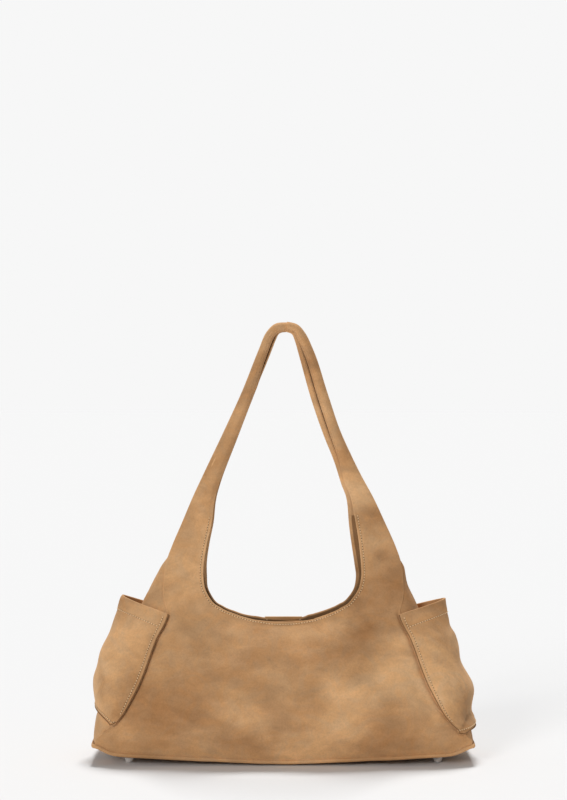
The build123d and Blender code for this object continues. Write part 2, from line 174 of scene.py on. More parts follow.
def add_mesh(name, verts, faces, material, smooth=True):
    """A new object from points in millimetres."""
    mesh = bpy.data.meshes.new(name)
    mesh.from_pydata((np.asarray(verts) * MM).tolist(), [], [list(map(int, f)) for f in faces])
    mesh.validate()
    mesh.polygons.foreach_set("use_smooth", [smooth] * len(mesh.polygons))
    obj = bpy.data.objects.new(name, mesh)
    bpy.context.scene.collection.objects.link(obj)
    obj.data.materials.append(material)
    return obj


def quads(rows, columns, offset=0):
    """Faces of a grid numbered row by row."""
    faces = []
    for i in range(rows - 1):
        for k in range(columns - 1):
            a = offset + i * columns + k
            b = a + columns
            faces.append((a, b, b + 1, a + 1))
    return faces


def bands(rings, count, closed=False, offset=0):
    """Faces between successive rings of points; closed joins the last ring to the first."""
    faces = []
    for i in range(rings if closed else rings - 1):
        a, b = offset + i * count, offset + (i + 1) % rings * count
        faces += [(a + k, a + (k + 1) % count, b + (k + 1) % count, b + k) for k in range(count)]
    return faces


def caps(rings, count, offset=0):
    """The faces that close the first and the last of the rings."""
    last = offset + (rings - 1) * count
    return [tuple(offset + k for k in range(count))[::-1], tuple(last + k for k in range(count))]


def refine(obj, levels=1):
    """Outward normals and applied subdivision."""
    bpy.ops.object.select_all(action="DESELECT")
    bpy.context.view_layer.objects.active = obj
    obj.select_set(True)
    bpy.ops.object.mode_set(mode="EDIT")
    bpy.ops.mesh.select_all(action="SELECT")
    bpy.ops.mesh.normals_make_consistent(inside=False)
    bpy.ops.object.mode_set(mode="OBJECT")
    if levels:
        subdivision = obj.modifiers.new("subdivision", "SUBSURF")
        subdivision.levels = levels
        bpy.ops.object.modifier_apply(modifier=subdivision.name)
    obj.data.polygons.foreach_set("use_smooth", [True] * len(obj.data.polygons))
    return obj


def shell(name, outer, thickness, material, towards, levels=1):
    """A closed sheet: the outer grid, its offset and the edges between. Towards is a sign."""
    inner = outer - towards * thickness * grid_normals(outer)
    rows, columns = outer.shape[:2]
    count = rows * columns
    verts = np.concatenate([outer.reshape(-1, 3), inner.reshape(-1, 3)])
    faces = quads(rows, columns) + [f[::-1] for f in quads(rows, columns, count)]
    border = list(range(columns))
    border += [i * columns + columns - 1 for i in range(1, rows)]
    border += [(rows - 1) * columns + k for k in range(columns - 2, -1, -1)]
    border += [i * columns for i in range(rows - 2, 0, -1)]
    for a, b in zip(border, border[1:] + border[:1]):
        faces.append((a, b, b + count, a + count))
    return refine(add_mesh(name, verts, faces, material), levels)


def tube(name, path, radius, material, sides=12, closed=False, levels=0):
    """A round tube along points; radius is a number or one for each point."""
    path = np.asarray(path, float)
    if closed:
        ahead, behind = np.roll(path, -1, 0), np.roll(path, 1, 0)
        tangent = ahead - behind
    else:
        tangent = np.gradient(path, axis=0)
    tangent /= np.linalg.norm(tangent, axis=1, keepdims=True)
    side = np.cross(tangent, (0.0, 0.0, 1.0))
    flat = np.linalg.norm(side, axis=1) < 1e-3
    side[flat] = (0.0, 1.0, 0.0)
    side /= np.linalg.norm(side, axis=1, keepdims=True)
    up = np.cross(side, tangent)
    turn = np.linspace(0, 2 * math.pi, sides, endpoint=False)
    radius = np.broadcast_to(np.asarray(radius, float), len(path))
    ring = side[:, None] * np.cos(turn)[None, :, None] + up[:, None] * np.sin(turn)[None, :, None]
    verts = path[:, None] + ring * radius[:, None, None]
    faces = bands(len(path), sides, closed) + ([] if closed else caps(len(path), sides))
    return refine(add_mesh(name, verts.reshape(-1, 3), faces, material), levels)


def lathe(name, profile, centre, material, sides=40):
    """A turned solid: (radius, height) points about a vertical line."""
    turn = np.linspace(0, 2 * math.pi, sides, endpoint=False)
    verts = [(r * math.cos(a), r * math.sin(a), z) for r, z in profile for a in turn]
    faces = bands(len(profile), sides) + caps(len(profile), sides)
    return refine(add_mesh(name, np.array(verts) + np.array(centre), faces, material), 0)


def stitches(name, path, normals, sizes):
    """Lengths of thread along a path, sunk a little into the suede, and near-black discs between that paint
    the shade of the needle holes.
    """
    path, normals = np.asarray(path, float), np.asarray(normals, float)
    gaps = np.linalg.norm(np.diff(path, axis=0), axis=1)
    place = np.concatenate([[0], np.cumsum(gaps)])
    count = int((place[-1] - 1) / sizes.stitch_pitch)
    pitch = (place[-1] - 2) / count
    middles = 1 + (np.arange(count) + 0.5) * pitch
    girth, hole = sizes.thread / 2, sizes.thread * 0.38
    thread = [(-0.5, 0.3, -0.5), (-0.34, 0.9, 0.05), (0, 1, 0.3), (0.34, 0.9, 0.05), (0.5, 0.3, -0.5)]
    pit = [(-0.5, 0.2, 0.05), (-0.3, 0.8, 0.12), (0.3, 0.8, 0.12), (0.5, 0.2, 0.05)]
    runs = [(m, sizes.stitch_length, girth, thread, 0) for m in middles]
    # Painted shade: flat near-black discs on the suede stand in for the shaded needle holes.
    runs += [(m + pitch / 2, 2.2 * hole, hole, pit, 1) for m in middles[:-1]]
    turn = np.linspace(0, 2 * math.pi, THREAD_SIDES, endpoint=False)
    verts, faces, kinds = [], [], []
    for middle, length, radius, profile, kind in runs:
        start = len(verts)
        share, girths, lifts = np.array(profile).T
        points = np.stack([np.interp(middle + share * length, place, path[:, k]) for k in range(3)], 1)
        up = np.array([np.interp(middle, place, normals[:, k]) for k in range(3)])
        up /= np.linalg.norm(up)
        forward = points[-1] - points[0]
        side = np.cross(forward / np.linalg.norm(forward), up)
        flat = 1.0 if kind == 0 else 0.35
        for point, r, lift in zip(points, girths * radius, lifts * radius + STITCH_LIFT):
            verts += [point + up * (lift + flat * r * math.sin(a)) + side * r * math.cos(a) for a in turn]
        faces += bands(len(profile), THREAD_SIDES, offset=start) + caps(len(profile), THREAD_SIDES, start)
        kinds += [kind] * (THREAD_SIDES * (len(profile) - 1) + 2)
    piece = add_mesh(name, np.array(verts), faces, finish("thread"))
    piece.data.materials.append(finish("needle_hole_painted_shade"))
    piece.data.polygons.foreach_set("material_index", kinds)
    return refine(piece, 0)


# ---------------------------------------------------------------- the bag's form

UNDERSIDE_MID, UNDERSIDE_LIFT, UNDERSIDE_REACH = 1.2, 8.4, 183.0
CORNER_LIFT, CORNER_START, CORNER_END = 8.0, 154.0, 188.0
PANEL_FOOT = 3.4            # lower edge of the walls above the underside


def underside(x):
    """Height of the sagging base's lower face."""
    corner = CORNER_LIFT * smoothstep(CORNER_START, CORNER_END, np.abs(x)) ** 2
    return UNDERSIDE_MID + UNDERSIDE_LIFT * (np.abs(x) / UNDERSIDE_REACH) ** 1.2 + corner


SEAM_X = through([
    (0, 183), (13, 184), (21, 185.4), (33, 173.6), (40, 166.4), (50, 158), (64, 150), (82, 141), (120, 127),
    (147, 115.5), (165, 119.5), (185, 118.5), (197, 117), (211, 112), (235, 101.5), (259, 91), (283, 79),
])
SEAM_DEPTH = through([
    (0, 45), (15, 48), (35, 50), (60, 48), (90, 41), (120, 31), (147, 21), (173, 12), (195, 3.6),
    (206, 2.1), (300, 2.1),
])
MID_DEPTH = {
    -1: through([
        (0, 49), (12, 53), (32, 58), (58, 59), (88, 52), (112, 41.5), (126, 33.5), (138, 24.5), (160, 18),
        (185, 16),
        (210, 15), (240, 12.5), (262, 11.5), (300, 11),
    ]),
    1: through([
        (0, 49), (12, 54), (28, 58), (58, 54), (88, 46), (115, 35), (138, 21.5), (160, 17), (185, 16),
        (210, 15), (240, 12.5), (262, 11.5), (300, 11),
    ]),
}

# Soft folds: middle x and z, direction in degrees, half length, half width, rise.
FOLD_HEIGHT = 2.0
FOLDS = {
    -1: [
        (-92, 118, -58, 46, 11, 1.6), (-66, 84, -40, 60, 15, 1.5), (-24, 62, 12, 70, 16, 1.1),
        (38, 96, -22, 60, 14, 1.7), (92, 112, 35, 26, 20, -2.3), (84, 70, -50, 48, 13, 1.5),
        (128, 60, -62, 40, 9, 1.3), (-136, 56, 58, 34, 9, 1.2), (4, 30, 3, 120, 9, -1.0),
        (-40, 118, 20, 36, 10, -0.9), (60, 34, -12, 60, 10, 1.0), (98, 202, 38, 14, 6, -2.2),
        (90, 190, 30, 18, 5, 1.2), (-96, 206, 60, 30, 7, 0.9), (84, 238, 68, 30, 6, 0.8),
        (-84, 240, 112, 26, 6, -0.8), (20, 122, -6, 46, 6, 0.6), (24, 100, -34, 44, 6, 0.9),
        (-52, 108, -20, 34, 5, -0.7), (-20, 84, -28, 40, 6, 0.8), (70, 100, 20, 26, 5, 0.8),
        (-110, 92, -70, 30, 6, -0.7), (56, 62, -38, 30, 6, -0.7), (-88, 46, -14, 36, 7, 0.7),
    ],
    1: [
        (-70, 90, 42, 60, 15, 1.6), (60, 80, -35, 60, 16, 1.7), (0, 50, 5, 90, 12, -1.3),
        (-110, 60, -60, 40, 11, 1.3), (112, 104, 55, 36, 12, 1.4), (10, 112, -10, 50, 10, 1.0),
        (90, 205, 60, 26, 7, 0.9), (-92, 214, 118, 28, 7, 0.9), (20, 26, 0, 110, 9, -0.8),
    ],
}


def folds(x, z, side):
    """How far the suede stands proud of its smooth form."""
    lift = np.zeros_like(x)
    for fx, fz, angle, reach, width, rise in FOLDS[side]:
        a = math.radians(angle)
        along = (x - fx) * math.cos(a) + (z - fz) * math.sin(a)
        across = (z - fz) * math.cos(a) - (x - fx) * math.sin(a) + 0.004 * along ** 2
        lift += rise * np.exp(-((along / reach) ** 2) - (across / width) ** 2)
    wobble = 0.35 * np.sin(x / 9.5 + 1.7 * np.sin(z / 17.0) + side) * np.sin(z / 12.0 + x / 31.0)
    wobble += 0.5 * np.sin(x / 27.0 + z / 41.0 + 2 * side) * np.cos(z / 23.0 - x / 60.0)
    return FOLD_HEIGHT * lift + wobble


def pucker(x, z):
    """Small gathers where the panel is pulled to its seam."""
    off_seam = SEAM_X(z) - np.abs(x)
    near = np.exp(-((off_seam - 5) / 7.0) ** 2) * (z < 190)
    foot = np.exp(-((z - underside(x) - 8) / 6.0) ** 2)
    return 0.55 * near * np.sin(z / 3.1 + 0.6 * np.sin(z / 7.0)) + 0.3 * foot * np.sin(x / 4.7)


# The panels are cut as one long ribbon: from the crown of the strap down one arm, round the
# seams and the base, and up the other arm. Stations: outer edge x, z, then rim x, z.
FRONT_LEFT = [
    (6.5, 434.7, 6.5, 426.2), (-9.0, 433.2, -5.0, 424.0), (-17.6, 424.6, -9.8, 418.6),
    (-24.6, 408.6, -15.6, 404.6), (-41.6, 366, -30.4, 361.3), (-60.5, 324.6, -46.6, 318.6),
    (-80.5, 282.6, -63.6, 275), (-91.6, 258.6, -68.8, 256), (-101.5, 234.6, -71.5, 234),
    (-111.8, 210.6, -76.6, 211), (-117, 196, -79.2, 194), (-119.5, 176, -79.3, 179),
    (-119, 160, -77.2, 168), (-115.6, 147, -72, 159), (-127, 120, -61.5, 151),
    (-141, 82, -50, 146), (-158, 50, -40, 142.6), (-174, 33, -33, 140.8), (-184.4, 22.8, -29, 139.9),
    (-184.8, 20.7, -27, 139.6), (-175, 16.2, -24.5, 139.3),
    (-165, 12.8, -22, 139), (-110, 9.2, -15, 138.3), (-55, 6.6, -8, 137.9), (0, 4.9, -1, 137.8),
]
FRONT_RIGHT = [
    (3.54, 435.4, 3.54, 425.6), (14.4, 432.6, 10.4, 424.2), (21.6, 424.6, 13.8, 418.2),
    (29.5, 408.6, 20.0, 404.8), (45, 362, 34.6, 358), (58, 324, 47.4, 319.5),
    (67.5, 303, 54.8, 298), (77.5, 282.6, 60.4, 275), (90.5, 258.6, 67.2, 259),
    (101.5, 234.6, 72.4, 232), (112.2, 210.6, 75.4, 211), (117.2, 196, 77.2, 194),
    (119.5, 176, 76.8, 178), (119, 160, 73.8, 168), (115.6, 147, 66.9, 158.3),
    (127, 120, 56, 150.6), (141, 82, 46, 146), (158, 50, 37, 142.8), (174, 33, 31, 141),
    (184.4, 22.8, 28, 140), (184.8, 20.7, 26, 139.7), (175, 16.2, 23.5, 139.3),
    (165, 12.8, 21, 139), (110, 9.2, 13, 138.2), (55, 6.6, 6, 137.8),
]
BACK_LEFT = [
    (6.5, 434.7, 6.5, 425.2), (-9.0, 433.2, -4.0, 422.8), (-17.6, 424.6, -7.2, 416.8),
    (-24.6, 408.6, -12.4, 403.4), (-41.6, 366, -29.8, 361), (-60.5, 324.6, -46.2, 318.4),
    (-80.5, 282.6, -62.8, 274.6), (-91.6, 258.6, -67.8, 256), (-101.5, 234.6, -70.2, 234),
    (-111.8, 210.6, -74.8, 211), (-117, 196, -77, 194), (-119.5, 176, -77, 180),
    (-119, 160, -76, 167.2), (-115.6, 147, -70.8, 157), (-127, 120, -60.5, 148.8),
    (-141, 82, -49, 143.8), (-158, 50, -40, 140.6), (-174, 33, -33, 139.2), (-184.4, 22.8, -29, 138.7),
    (-184.8, 20.7, -26, 138.4), (-175, 16.2, -23.5, 137.9),
    (-165, 12.8, -21, 137.5), (-110, 9.2, -14, 136.9), (-55, 6.6, -7, 136.6), (0, 4.9, 0, 136.5),
]
BACK_RIGHT = [
    (3.54, 435.4, 3.54, 424.6), (14.4, 432.6, 8.6, 422.6), (21.6, 424.6, 11.2, 416.6),
    (29.5, 408.6, 15.2, 402.6), (45, 362, 28.4, 355.4), (58, 324, 41.8, 317.2),
    (67.5, 303, 50.4, 296), (77.5, 282.6, 57.4, 274), (90.5, 258.6, 63.4, 257),
    (101.5, 234.6, 65.8, 232), (112.2, 210.6, 68.6, 211), (117.2, 196, 71.4, 192),
    (119.5, 176, 72.8, 178), (119, 160, 70.4, 166), (115.6, 147, 64.6, 157.4),
    (127, 120, 55, 150.6), (141, 82, 46, 146.4), (158, 50, 37, 143.2), (174, 33, 31, 141.4),
    (184.4, 22.8, 28, 140.6), (184.8, 20.7, 26, 140.2), (175, 16.2, 23.5, 139.2),
    (165, 12.8, 21, 138.2), (110, 9.2, 14, 137.2), (55, 6.6, 7, 136.7),
]
STATION_STEP = 4.0
RIM_ROWS = (0.0, 0.7, 1.7, 3.0, 4.4)      # from the rim inward
SEAM_ROWS = (0.0, 0.7, 1.5, 2.4, 3.3, 4.6)               # from the outer edge inward
MIDDLE_ROWS = 24
NARROWEST = 9.8             # below this width the rows at both edges close up together
STITCH_ROW = 3                            # which rim row the topstitch follows
STITCH_GROOVE = 0.45
STITCH_LIFT = 0.46
THREAD_SIDES = 6
EDGE_RADIUS = 0.5


def ribbon(left, right):
    """Outer-edge and rim points, crown to crown, from the two lists of stations."""
    stations = np.array(left + right[::-1], float)
    gap = np.maximum(
        np.linalg.norm(np.diff(stations[:, :2], axis=0), axis=1),
        np.linalg.norm(np.diff(stations[:, 2:], axis=0), axis=1),
    )
    place = np.concatenate([[0], np.cumsum(gap)])
    middle = np.linspace(STATION_STEP, place[-1] - STATION_STEP, int(place[-1] / STATION_STEP))
    ends = np.array([0, 0.5, 1.5])
    where = np.concatenate([ends, middle, place[-1] - ends[::-1]])
    columns = [through(list(zip(place, stations[:, k])), monotone=False)(where) for k in range(4)]
    return np.stack(columns[:2], 1), np.stack(columns[2:], 1)


def ribbon_shares(width):
    """Where each row lies between outer edge (0) and rim (1)."""
    squeeze = np.minimum(1 / width, 1 / NARROWEST)[:, None]
    near = np.array(SEAM_ROWS)[None] * squeeze
    far = 1 - np.array(RIM_ROWS)[::-1][None] * squeeze
    t = np.linspace(0, 1, MIDDLE_ROWS + 2)[1:-1][None]
    middle = near[:, -1:] + t * (far[:, :1] - near[:, -1:])
    return np.concatenate([near, middle, far], 1)


SEAM_GROOVE = 2.0           # along the seam, below the mouth
STRAP_FOLD = 0.3            # half thickness of the strap at its folded outer edge
STRAP_LIP = 2.3             # and at its open inner edge
STRAP_DEPTH = 5.0           # and how much fuller it is between them
STRAP_START, STRAP_ROUND = 232, 286       # heights where the arm starts to close and is round
CROWN_LAP = 0.7             # the left arm's end is sewn inside the right arm's
TUBE_SHARE = {-1: 0.92, 1: 0.74}          # the rest of each half is a flat lip


def wall_depth(x, z, side):
    """Distance of the body's front or back wall from the middle plane."""
    reach = np.minimum(np.abs(x) / SEAM_X(z), 1)
    middle, seam = MID_DEPTH[side](z), SEAM_DEPTH(z)
    depth = middle - (middle - seam) * reach ** 2.6
    fade = smoothstep(0, 0.12, 1 - reach)
    off_seam = SEAM_X(z) - np.abs(x)
    groove = SEAM_GROOVE * np.exp(-(((off_seam - 2.5) / 1.4) ** 2))
    groove *= smoothstep(150, 142, z) * smoothstep(26, 36, z)
    return depth - groove + (folds(x, z, side) * fade + pucker(x, z)) * smoothstep(290, 240, z)


def panel_grid(side):
    """The ribbon in space, outer edge to rim, for the front (-1) or back (1)."""
    outer, rim = ribbon(*((FRONT_LEFT, FRONT_RIGHT) if side < 0 else (BACK_LEFT, BACK_RIGHT)))
    width = np.linalg.norm(outer - rim, axis=1)
    share = ribbon_shares(width)
    x = outer[:, :1] + share * (rim - outer)[:, :1]
    z = outer[:, 1:] + share * (rim - outer)[:, 1:]
    body = wall_depth(x, z, side)
    tube_end = TUBE_SHARE[side] + 0.22 * (side > 0) * smoothstep(345, 380, z) * smoothstep(8, -4, x)
    round_part = np.minimum(share / tube_end, 1)
    arch = np.sqrt(np.clip(1 - (2 * round_part - 1) ** 2, 0, 1)) ** 0.9
    strap = STRAP_FOLD + (STRAP_LIP - STRAP_FOLD) * share + STRAP_DEPTH * arch
    left_arm = (np.arange(len(x)) < len(x) // 2)[:, None] * (z > 420)
    strap -= CROWN_LAP * smoothstep(0, 3.5, x) * left_arm
    depth = body + (strap - body) * smoothstep(STRAP_START, STRAP_ROUND, z)
    depth[:, -1 - STITCH_ROW] -= STITCH_GROOVE
    return np.stack([x, side * depth, z], 2)


GUSSET_TIP = {
    -1: through([
        (0, 182), (10, 184.5), (16, 187), (24, 188.2), (44, 187.6), (54, 183), (75, 173), (100, 163),
        (125, 154), (147, 146), (163, 138.5), (175, 131.5), (187, 124), (197, 119.2), (206, 116),
    ]),
    1: through([
        (0, 181), (10, 184), (16, 186.6), (30, 187.4), (44, 184), (54, 180), (75, 170), (100, 158),
        (125, 148), (147, 138), (157, 132.5), (169, 125.6), (178, 122.4), (190, 120.6), (206, 116),
    ]),
}
POCKET_TIP = {
    -1: through([
        (38, 184), (46, 187.5), (56, 189.6), (66, 190.6), (78, 189.8), (92, 186), (109, 181.4),
        (127, 174.6), (145, 166.6), (154, 164), (159, 162.6), (162.5, 160), (166, 156),
    ]),
    1: through([
        (26, 186.5), (31, 187.6), (36, 190.2), (41.4, 191.2), (46.5, 188.3), (55, 189.3), (64.4, 190),
        (73, 188.1), (85, 183), (100, 177), (110, 175.8), (122, 172.6), (133, 165.4), (138, 164.4),
        (147, 162.8), (158.7, 161.3), (166, 160.6),
    ]),
}
POCKET_RIM = {-1: (145.5, 162.5), 1: (145.0, 159.0)}       # at the seam, at the tip
POCKET_FOOT = {-1: (36.5, 52.0), 1: (30.0, 36.0)}
ZIP_TAPE, ZIP_BACKING = 0.6, 1.0          # tape's thickness, and how far behind it the lining lies


def end_ring(u, tip, depth, seam):
    """A point on a gusset or pocket: u from -1 at the front seam to 1 at the back seam."""
    a = u * math.pi / 2
    across = np.sign(u) * np.abs(np.sin(a)) ** 1.15
    out = np.abs(np.cos(a)) ** 0.85
    return seam + (tip - seam) * out, depth * across


# ---------------------------------------------------------------- materials


def new_material(name):
    material = bpy.data.materials.new(name)
    material.use_nodes = True
    nodes, links = material.node_tree.nodes, material.node_tree.links
    shader = next(n for n in nodes if n.type == "BSDF_PRINCIPLED")
    return material, nodes, links, shader


def noise(nodes, links, where, scale, detail=3.0, distortion=0.0, roughness=0.5):
    node = nodes.new("ShaderNodeTexNoise")
    node.inputs["Scale"].default_value = scale
    node.inputs["Detail"].default_value = detail
    node.inputs["Distortion"].default_value = distortion
    node.inputs["Roughness"].default_value = roughness
    links.new(where, node.inputs["Vector"])
    return node.outputs["Fac"]


def ramp(nodes, links, value, stops):
    node = nodes.new("ShaderNodeValToRGB")
    node.color_ramp.elements[0].position = stops[0][0]
    node.color_ramp.elements[0].color = (*stops[0][1], 1)
    node.color_ramp.elements[1].position = stops[-1][0]
    node.color_ramp.elements[1].color = (*stops[-1][1], 1)
    for place, tone in stops[1:-1]:
        node.color_ramp.elements.new(place).color = (*tone, 1)
    links.new(value, node.inputs["Fac"])
    return node.outputs["Color"]


def blend_colours(nodes, links, mode, amount, first, second):
    node = nodes.new("ShaderNodeMix")
    node.data_type = "RGBA"
    node.blend_type = mode
    if isinstance(amount, float):
        node.inputs[0].default_value = amount
    else:
        links.new(amount, node.inputs[0])
    for socket, value in ((node.inputs[6], first), (node.inputs[7], second)):
        if isinstance(value, tuple):
            socket.default_value = (*value, 1)
        else:
            links.new(value, socket)
    return node.outputs[2]


def bump(nodes, links, shader, heights):
    """Stacks (height, distance in metres, strength) bumps onto the shader's normal."""
    last = None
    for height, distance, strength in heights:
        node = nodes.new("ShaderNodeBump")
        node.inputs["Distance"].default_value = distance
        node.inputs["Strength"].default_value = strength
        links.new(height, node.inputs["Height"])
        if last:
            links.new(last, node.inputs["Normal"])
        last = node.outputs["Normal"]
    links.new(last, shader.inputs["Normal"])


def object_space(nodes, links, scale=(1, 1, 1), rotation=(0, 0, 0)):
    where = nodes.new("ShaderNodeTexCoord").outputs["Object"]
    mapping = nodes.new("ShaderNodeMapping")
    mapping.inputs["Scale"].default_value = scale
    mapping.inputs["Rotation"].default_value = rotation
    links.new(where, mapping.inputs["Vector"])
    return mapping.outputs["Vector"]


def grey(value):
    return (value, value, value)


def suede(name, light, dark, nap=1.0):
    """Brushed suede: cloudy nap, hand strokes, fine fibre, paler worn edges and painted shade in the hollows.
    """
    material, nodes, links, shader = new_material(name)
    where = object_space(nodes, links)
    drift = object_space(nodes, links, (0.70, 1.0, 1.15), (0, 0.55, 0))
    strokes_space = object_space(nodes, links, (0.62, 1.0, 1.1), (0, 0.5, 0))
    clouds = noise(nodes, links, drift, 12.0, 4.0, 0.5, 0.5)
    strokes = noise(nodes, links, strokes_space, 55.0, 5.0, 0.7, 0.6)
    patches = noise(nodes, links, where, 38.0, 2.0, 2.2, 0.5)
    speckle = noise(nodes, links, where, 520.0, 4.0, 0.3, 0.7)
    fibre = noise(nodes, links, where, 1500.0, 3.0, 0.4, 0.7)
    middle = tuple(0.55 * a + 0.45 * b for a, b in zip(dark, light))
    base = ramp(nodes, links, clouds, [(0.35, dark), (0.50, middle), (0.66, light)])
    tone = ramp(nodes, links, strokes, [(0.32, grey(0.86)), (0.52, grey(1.0)), (0.68, grey(1.13))])
    base = blend_colours(nodes, links, "MULTIPLY", 0.75 * nap, base, tone)
    warm = ramp(nodes, links, patches, [(0.36, (0.96, 0.99, 1.05)), (0.62, (1.04, 1.0, 0.95))])
    base = blend_colours(nodes, links, "MULTIPLY", 0.9, base, warm)
    fleck = ramp(nodes, links, speckle, [(0.32, grey(0.82)), (0.55, grey(1.0)), (0.75, grey(1.12))])
    base = blend_colours(nodes, links, "MULTIPLY", 0.6 * nap, base, fleck)
    edges = nodes.new("ShaderNodeNewGeometry").outputs["Pointiness"]
    worn = ramp(nodes, links, edges, [(0.505, grey(0.0)), (0.58, grey(0.45))])
    base = blend_colours(nodes, links, "MIX", worn, base, tuple(min(1, c * 1.2) for c in light))
    # Painted shade: hollows and creases (low pointiness) are darkened, down to 0.45 at the deepest.
    painted_crease_shade = ramp(nodes, links, edges, [(0.42, grey(0.45)), (0.490, grey(1.0))])
    base = blend_colours(nodes, links, "MULTIPLY", 1.0, base, painted_crease_shade)
    links.new(base, shader.inputs["Base Color"])
    rough = ramp(nodes, links, strokes, [(0.3, grey(0.96)), (0.7, grey(0.84))])
    links.new(rough, shader.inputs["Roughness"])
    shader.inputs["Specular IOR Level"].default_value = 0.15
    shader.inputs["Sheen Weight"].default_value = 0.16
    shader.inputs["Sheen Roughness"].default_value = 0.5
    shader.inputs["Sheen Tint"].default_value = (1.0, 0.82, 0.60, 1)
    bump(nodes, links, shader, [
        (strokes, 0.0013, 0.35 * nap), (speckle, 0.0005, 0.35), (fibre, 0.00022, 0.5),
    ])
    return material


def woven(name, tone, pitch, depth=0.00025):
    """Plain-woven cloth: two crossed sets of yarns, with slubs."""
    material, nodes, links, shader = new_material(name)
    where = object_space(nodes, links)
    waves = []
    for direction in ("X", "Z"):
        wave = nodes.new("ShaderNodeTexWave")
        wave.bands_direction = direction
        wave.inputs["Scale"].default_value = 1 / (pitch * MM) / 6.283 * 2
        wave.inputs["Distortion"].default_value = 0.6
        wave.inputs["Detail Scale"].default_value = 3.0
        links.new(where, wave.inputs["Vector"])
        waves.append(wave.outputs["Fac"])
    cross = nodes.new("ShaderNodeMath")
    cross.operation = "MAXIMUM"
    links.new(waves[0], cross.inputs[0])
    links.new(waves[1], cross.inputs[1])
    slub = noise(nodes, links, where, 90.0, 4.0, 0.5)
    dark = tuple(c * 0.62 for c in tone)
    base = ramp(nodes, links, cross.outputs[0], [(0.15, dark), (0.85, tone)])
    cloudy = ramp(nodes, links, slub, [(0.3, grey(0.85)), (0.7, grey(1.1))])
    links.new(blend_colours(nodes, links, "MULTIPLY", 0.8, base, cloudy), shader.inputs["Base Color"])
    shader.inputs["Roughness"].default_value = 0.88
    shader.inputs["Sheen Weight"].default_value = 0.15
    bump(nodes, links, shader, [(cross.outputs[0], depth, 0.7), (slub, 0.0006, 0.2)])
    return material


def metal(name, tone, rough, metallic=0.6):
    """Satin plated metal with fine turning marks and a little tarnish."""
    material, nodes, links, shader = new_material(name)
    where = object_space(nodes, links)
    marks = noise(nodes, links, object_space(nodes, links, (1, 1, 6)), 700.0, 2.0)
    tarnish = noise(nodes, links, where, 160.0, 4.0, 0.5)
    dull = tuple(c * 0.74 for c in tone)
    links.new(ramp(nodes, links, tarnish, [(0.35, dull), (0.6, tone)]), shader.inputs["Base Color"])
    spread = ramp(nodes, links, tarnish, [(0.3, grey(rough * 1.35)), (0.7, grey(rough * 0.85))])
    links.new(spread, shader.inputs["Roughness"])
    shader.inputs["Metallic"].default_value = metallic
    bump(nodes, links, shader, [(marks, 0.00006, 0.4)])
    return material


def waxed_thread(name, tone):
    """Twisted sewing thread."""
    material, nodes, links, shader = new_material(name)
    where = object_space(nodes, links)
    twist = noise(nodes, links, where, 2600.0, 1.0, 0.8)
    links.new(
        ramp(nodes, links, twist, [(0.3, tuple(c * 0.7 for c in tone)), (0.7, tone)]),
        shader.inputs["Base Color"],
    )
    shader.inputs["Roughness"].default_value = 0.6
    bump(nodes, links, shader, [(twist, 0.0001, 0.5)])
    return material


def fibre_board(name, tone):
    material, nodes, links, shader = new_material(name)
    flecks = noise(nodes, links, object_space(nodes, links), 300.0, 5.0, 0.4)
    light = tuple(c * 1.6 for c in tone)
    links.new(ramp(nodes, links, flecks, [(0.35, tone), (0.75, light)]), shader.inputs["Base Color"])
    shader.inputs["Roughness"].default_value = 0.85
    bump(nodes, links, shader, [(flecks, 0.0002, 0.4)])
    return material


MATERIALS = {}


def finish(name):
    """The named material, made on first use from the colours in the panel."""
    if name not in MATERIALS:
        tones = bpy.context.scene.hobo_colours
        makers = {
            "suede": lambda: suede("suede", tuple(tones.nap_light), tuple(tones.nap_dark)),
            # The facing's dark colour is painted shade inside the mouth.
            "suede_facing_painted_shade": lambda: suede(
                "suede_facing_painted_shade", tuple(c * 1.2 for c in tones.facing), tuple(tones.facing), 0.6
            ),
            # Painted light: the bag's suede made 1.4 times lighter, so the shaded tab under the back rim
            # looks lit.
            "suede_tab_painted_light": lambda: suede(
                "suede_tab_painted_light", tuple(min(1, c * 1.4) for c in tones.nap_light),
                tuple(min(1, c * 1.4) for c in tones.nap_dark),
            ),
            # A dark cut edge, darkened further to paint the shade in the gap between pocket and wall.
            "suede_edge_and_painted_shade": lambda: suede(
                "suede_edge_and_painted_shade", tuple(c * 0.66 for c in tones.nap_dark),
                tuple(c * 0.40 for c in tones.nap_dark), 0.6
            ),
            "thread": lambda: waxed_thread("thread", tuple(tones.thread)),
            # Near-black: painted shade of the needle holes.
            "needle_hole_painted_shade": lambda: waxed_thread("needle_hole_painted_shade", tuple(c * 0.12 for c in tones.thread)),
            "lining": lambda: woven("lining", tuple(tones.lining), 0.9),
            "webbing": lambda: woven("webbing", tuple(c * 0.8 for c in tones.lining), 1.6, 0.0004),
            "nickel": lambda: metal("nickel", tuple(tones.nickel), 0.36),
            "foot_nickel": lambda: metal("foot_nickel", tuple(tones.nickel), 0.42, 0.15),
            "brass": lambda: metal("brass", tuple(tones.brass), 0.34),
            "board": lambda: fibre_board("board", tuple(tones.board)),
        }
        MATERIALS[name] = makers[name]()
    return MATERIALS[name]


# ---------------------------------------------------------------- operators


class HoboOperator:
    """Shared by every operator below"""

    bl_options = {"REGISTER", "UNDO"}

    @staticmethod
    def sizes():
        return bpy.context.scene.hobo_sizes


def across_fold(piece):
    """Bakes the piece's placement into its mesh; it adds no bend between the bag and its strap."""
    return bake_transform(piece)


